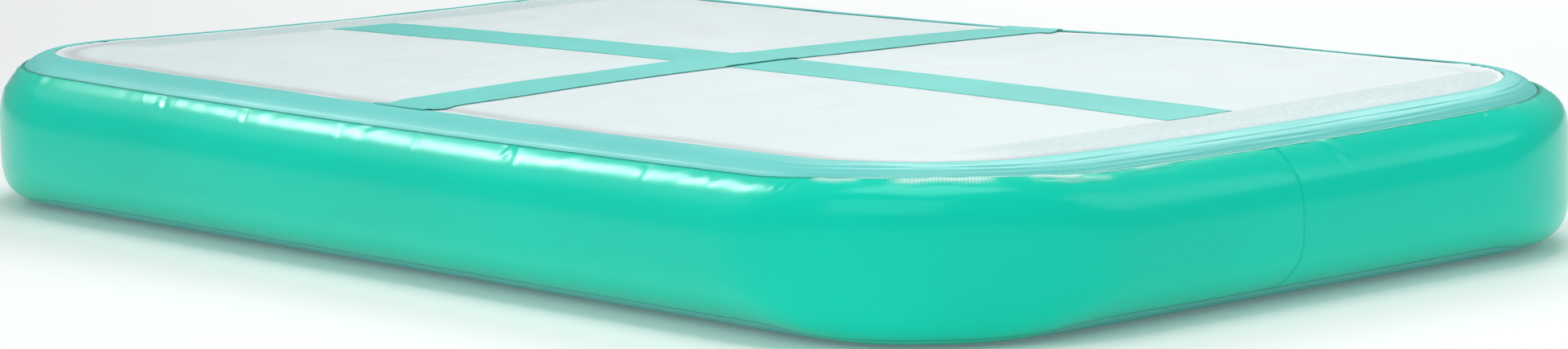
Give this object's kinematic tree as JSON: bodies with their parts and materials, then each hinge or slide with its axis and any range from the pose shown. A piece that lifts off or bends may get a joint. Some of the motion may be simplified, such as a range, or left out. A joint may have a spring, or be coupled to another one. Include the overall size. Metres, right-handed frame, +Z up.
{
  "type": "inflatable air track mat",
  "caption": "Small inflatable tumbling mat: white drop-stitch top with a plus of mint guide stripes, bulging mint side wall and a capped inflation valve in one short side.",
  "frame": {"origin": "centre of the resting face, on the floor", "axes": "+X along the long sides, away from the valve; +Y along the short sides; +Z up, through the mat's thickness"},
  "size_m": [1, 0.6, 0.0999],
  "materials": {
    "top_face": "white PVC-coated drop-stitch cloth, satin, faint grid of yarn dimples",
    "bottom_face": "pale mint PVC-coated drop-stitch cloth, matt",
    "side_wall": "glossy mint PVC film",
    "liner": "plain gas-tight PVC strip, matt",
    "edge_band": "light mint PVC tape, satin",
    "stripe": "light mint PVC tape, satin",
    "yarn": "polyester yarn",
    "valve_plastic": "moulded grey nylon",
    "inner_plastic": "moulded dark nylon",
    "rubber_seal": "black rubber",
    "spring_steel": "drawn stainless wire"
  },
  "bodies": {
    "mat": {"top_face_cloth": "top_face", "bottom_face_cloth": "bottom_face", "outer_side_wall": "side_wall", "inner_side_wall": "liner", "top_edge_band": "edge_band", "bottom_edge_band": "edge_band", "long_stripe": "stripe", "cross_stripe": "stripe", "drop_yarn_row_1": "yarn", "drop_yarn_row_2": "yarn", "drop_yarn_row_3": "yarn", "drop_yarn_row_4": "yarn", "drop_yarn_row_5": "yarn", "drop_yarn_row_6": "yarn", "drop_yarn_row_7": "yarn", "drop_yarn_row_8": "yarn", "drop_yarn_row_9": "yarn", "valve_patch": "side_wall", "valve_gasket": "rubber_seal", "valve_housing": "valve_plastic", "valve_base_nut": "inner_plastic", "valve_spring": "spring_steel"},
    "plunger": {"seal_carrier": "inner_plastic", "valve_seal": "rubber_seal"},
    "stem": {"valve_stem": "inner_plastic"},
    "tether": {"cap_tether_ring": "valve_plastic"},
    "cap": {"valve_cap": "valve_plastic", "cap_seal": "rubber_seal"}
  },
  "joints": [
    {"name": "valve_press", "type": "slide", "parent": "mat", "child": "plunger", "axis": [1, 0, 0], "range_m": [0, 0.0055], "stiffness_N_per_m": 600, "springref_m": -0.004, "deforming": ["valve_spring"]},
    {"name": "stem_turn", "type": "hinge", "parent": "plunger", "child": "stem", "pos_m": [-0.488, 0, 0.04675], "axis": [1, 0, 0], "range_deg": [0, 90]},
    {"name": "tether_swivel", "type": "hinge", "parent": "mat", "child": "tether", "pos_m": [-0.488, 0, 0.04675], "axis": [1, 0, 0], "continuous": true},
    {"name": "cap_flip", "type": "hinge", "parent": "tether", "child": "cap", "pos_m": [-0.494, 0, 0.07435], "axis": [0, 1, 0], "range_deg": [0, 120]}
  ]
}
